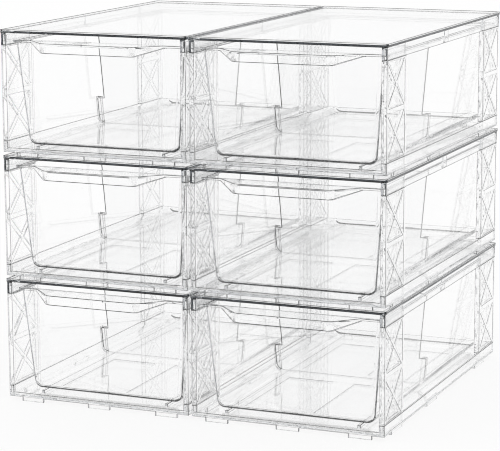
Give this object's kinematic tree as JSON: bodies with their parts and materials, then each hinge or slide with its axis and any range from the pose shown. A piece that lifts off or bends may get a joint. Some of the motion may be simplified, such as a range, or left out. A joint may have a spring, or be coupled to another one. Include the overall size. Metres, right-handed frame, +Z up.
{
  "type": "stackable drawer box set",
  "caption": "Clear stackable drawer boxes in side-by-side stacks: X-braced posts join tray lids and bases, and each drafted drawer has a bow-front pull and a divider.",
  "frame": {"origin": "on the ground, under the middle of the set's bounding box, pulls included", "axes": "+Z up, the drawers open towards -Y, +X to the right of someone facing the drawers"},
  "size_m": [0.3696, 0.34, 0.3447],
  "materials": {
    "clear_case": "clear polished moulding",
    "clear_drawer": "clear polished moulding",
    "clear_divider": "clear polished moulding"
  },
  "bodies": {
    "lower_cases": {"lower_left_lid": "clear_case", "lower_left_base": "clear_case", "lower_left_front_left_post": "clear_case", "lower_left_front_right_post": "clear_case", "lower_left_rear_left_post": "clear_case", "lower_left_rear_right_post": "clear_case", "lower_right_lid": "clear_case", "lower_right_base": "clear_case", "lower_right_front_left_post": "clear_case", "lower_right_front_right_post": "clear_case", "lower_right_rear_left_post": "clear_case", "lower_right_rear_right_post": "clear_case"},
    "lower_left_drawer_tub": {"lower_left_drawer": "clear_drawer"},
    "lower_left_divider_plate": {"lower_left_divider": "clear_divider"},
    "middle_left_case": {"middle_left_lid": "clear_case", "middle_left_base": "clear_case", "middle_left_front_left_post": "clear_case", "middle_left_front_right_post": "clear_case", "middle_left_rear_left_post": "clear_case", "middle_left_rear_right_post": "clear_case"},
    "middle_left_drawer_tub": {"middle_left_drawer": "clear_drawer"},
    "middle_left_divider_plate": {"middle_left_divider": "clear_divider"},
    "upper_left_case": {"upper_left_lid": "clear_case", "upper_left_base": "clear_case", "upper_left_front_left_post": "clear_case", "upper_left_front_right_post": "clear_case", "upper_left_rear_left_post": "clear_case", "upper_left_rear_right_post": "clear_case"},
    "upper_left_drawer_tub": {"upper_left_drawer": "clear_drawer"},
    "upper_left_divider_plate": {"upper_left_divider": "clear_divider"},
    "lower_right_drawer_tub": {"lower_right_drawer": "clear_drawer"},
    "lower_right_divider_plate": {"lower_right_divider": "clear_divider"},
    "middle_right_case": {"middle_right_lid": "clear_case", "middle_right_base": "clear_case", "middle_right_front_left_post": "clear_case", "middle_right_front_right_post": "clear_case", "middle_right_rear_left_post": "clear_case", "middle_right_rear_right_post": "clear_case"},
    "middle_right_drawer_tub": {"middle_right_drawer": "clear_drawer"},
    "middle_right_divider_plate": {"middle_right_divider": "clear_divider"},
    "upper_right_case": {"upper_right_lid": "clear_case", "upper_right_base": "clear_case", "upper_right_front_left_post": "clear_case", "upper_right_front_right_post": "clear_case", "upper_right_rear_left_post": "clear_case", "upper_right_rear_right_post": "clear_case"},
    "upper_right_drawer_tub": {"upper_right_drawer": "clear_drawer"},
    "upper_right_divider_plate": {"upper_right_divider": "clear_divider"}
  },
  "joints": [
    {"name": "lower_left_drawer_slide", "type": "slide", "parent": "lower_cases", "child": "lower_left_drawer_tub", "axis": [0, -1, 0], "range_m": [0, 0.24]},
    {"name": "lower_left_divider_lift", "type": "slide", "parent": "lower_left_drawer_tub", "child": "lower_left_divider_plate", "axis": [0, 0, 1], "range_m": [0, 0.014]},
    {"name": "middle_left_case_lift", "type": "slide", "parent": "lower_cases", "child": "middle_left_case", "axis": [0, 0, 1], "range_m": [0, 0.1]},
    {"name": "middle_left_drawer_slide", "type": "slide", "parent": "middle_left_case", "child": "middle_left_drawer_tub", "axis": [0, -1, 0], "range_m": [0, 0.24]},
    {"name": "middle_left_divider_lift", "type": "slide", "parent": "middle_left_drawer_tub", "child": "middle_left_divider_plate", "axis": [0, 0, 1], "range_m": [0, 0.014]},
    {"name": "upper_left_case_lift", "type": "slide", "parent": "middle_left_case", "child": "upper_left_case", "axis": [0, 0, 1], "range_m": [0, 0.1]},
    {"name": "upper_left_drawer_slide", "type": "slide", "parent": "upper_left_case", "child": "upper_left_drawer_tub", "axis": [0, -1, 0], "range_m": [0, 0.24]},
    {"name": "upper_left_divider_lift", "type": "slide", "parent": "upper_left_drawer_tub", "child": "upper_left_divider_plate", "axis": [0, 0, 1], "range_m": [0, 0.014]},
    {"name": "lower_right_drawer_slide", "type": "slide", "parent": "lower_cases", "child": "lower_right_drawer_tub", "axis": [0, -1, 0], "range_m": [0, 0.24]},
    {"name": "lower_right_divider_lift", "type": "slide", "parent": "lower_right_drawer_tub", "child": "lower_right_divider_plate", "axis": [0, 0, 1], "range_m": [0, 0.014]},
    {"name": "middle_right_case_lift", "type": "slide", "parent": "lower_cases", "child": "middle_right_case", "axis": [0, 0, 1], "range_m": [0, 0.1]},
    {"name": "middle_right_drawer_slide", "type": "slide", "parent": "middle_right_case", "child": "middle_right_drawer_tub", "axis": [0, -1, 0], "range_m": [0, 0.24]},
    {"name": "middle_right_divider_lift", "type": "slide", "parent": "middle_right_drawer_tub", "child": "middle_right_divider_plate", "axis": [0, 0, 1], "range_m": [0, 0.014]},
    {"name": "upper_right_case_lift", "type": "slide", "parent": "middle_right_case", "child": "upper_right_case", "axis": [0, 0, 1], "range_m": [0, 0.1]},
    {"name": "upper_right_drawer_slide", "type": "slide", "parent": "upper_right_case", "child": "upper_right_drawer_tub", "axis": [0, -1, 0], "range_m": [0, 0.24]},
    {"name": "upper_right_divider_lift", "type": "slide", "parent": "upper_right_drawer_tub", "child": "upper_right_divider_plate", "axis": [0, 0, 1], "range_m": [0, 0.014]}
  ]
}
